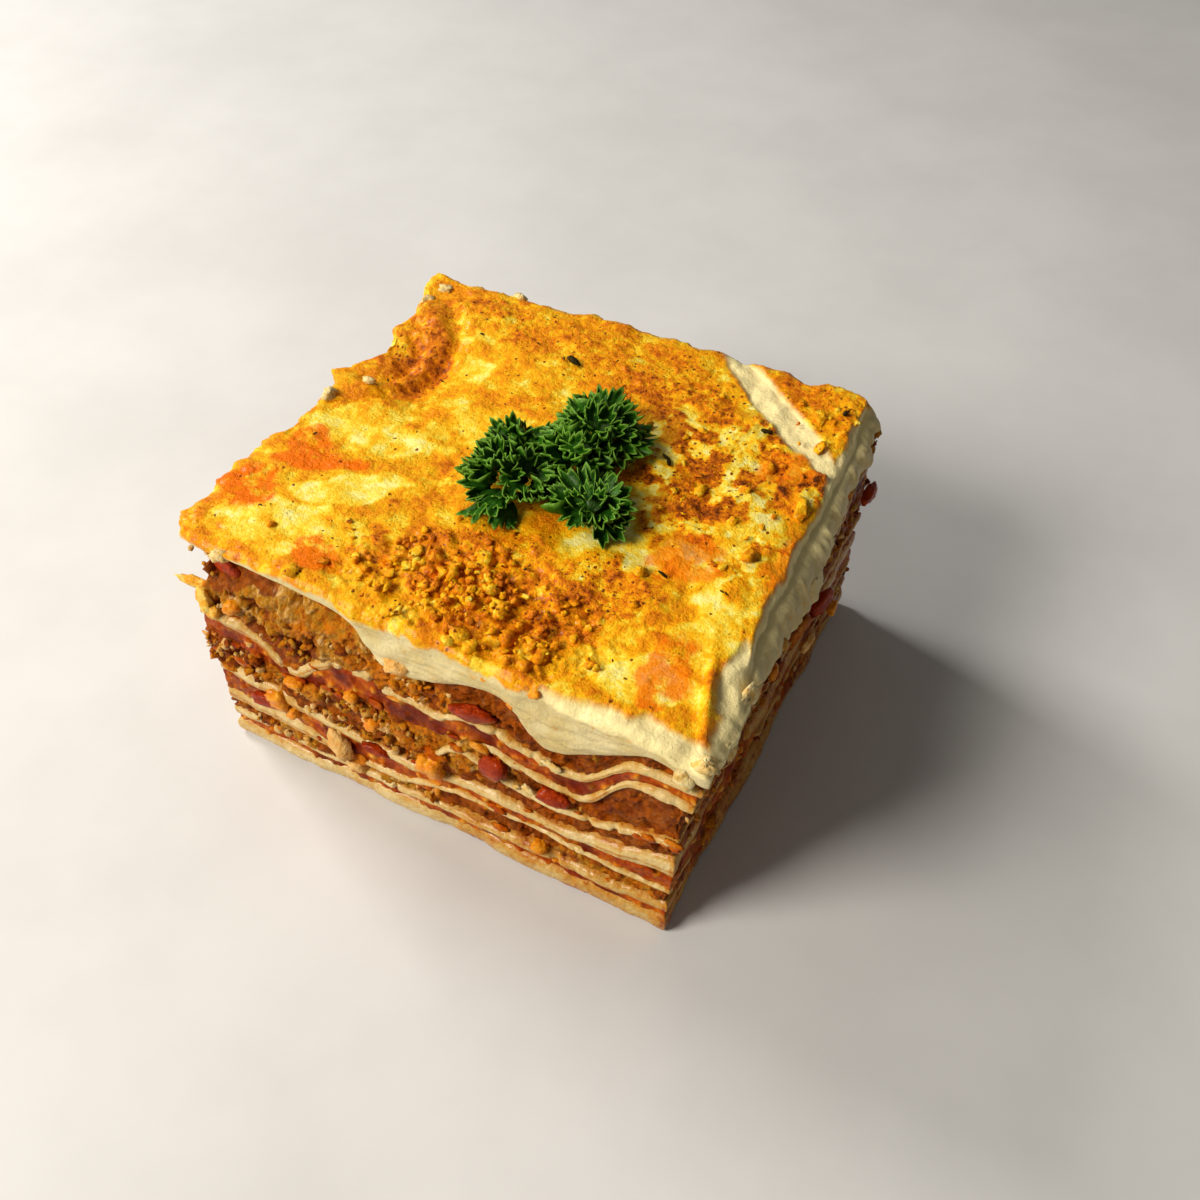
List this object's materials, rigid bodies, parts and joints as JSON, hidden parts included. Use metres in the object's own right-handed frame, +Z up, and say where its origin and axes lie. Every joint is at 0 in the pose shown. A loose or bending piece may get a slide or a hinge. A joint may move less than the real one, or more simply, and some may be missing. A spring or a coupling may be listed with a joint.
{
  "type": "lasagne slice",
  "caption": "Square-cut slice of lasagne: wavy pasta sheets, meat and red sauce between them, thick bechamel with a baked golden top, curly parsley garnish.",
  "frame": {"origin": "middle of the slice's base, on the surface that it stands on", "axes": "+Z up; +X along the best cut face from its left corner to its right one; +Y from that face towards the back"},
  "size_m": [0.1034, 0.092, 0.0675],
  "materials": {
    "pasta": "moist, faintly translucent pasta, stained by sauce",
    "red_sauce": "glossy dark red tomato sauce",
    "meat_sauce": "moist crumbly minced meat in sauce",
    "bechamel": "smooth cream sauce, baked golden and speckled brown on top",
    "parsley": "fresh green leaf with a soft sheen"
  },
  "bodies": {
    "root": {"pasta_sheet_1": "pasta", "pasta_sheet_2": "pasta", "pasta_sheet_3": "pasta", "pasta_sheet_4": "pasta", "pasta_sheet_5": "pasta", "pasta_sheet_6": "pasta", "pasta_sheet_7": "pasta", "filling_1": "red_sauce", "filling_2": "meat_sauce", "filling_3": "red_sauce", "filling_4": "meat_sauce", "filling_5": "meat_sauce", "filling_6": "red_sauce", "filling_7": "meat_sauce", "bechamel_and_crust": "bechamel", "parsley_sprig": "parsley"}
  },
  "joints": []
}
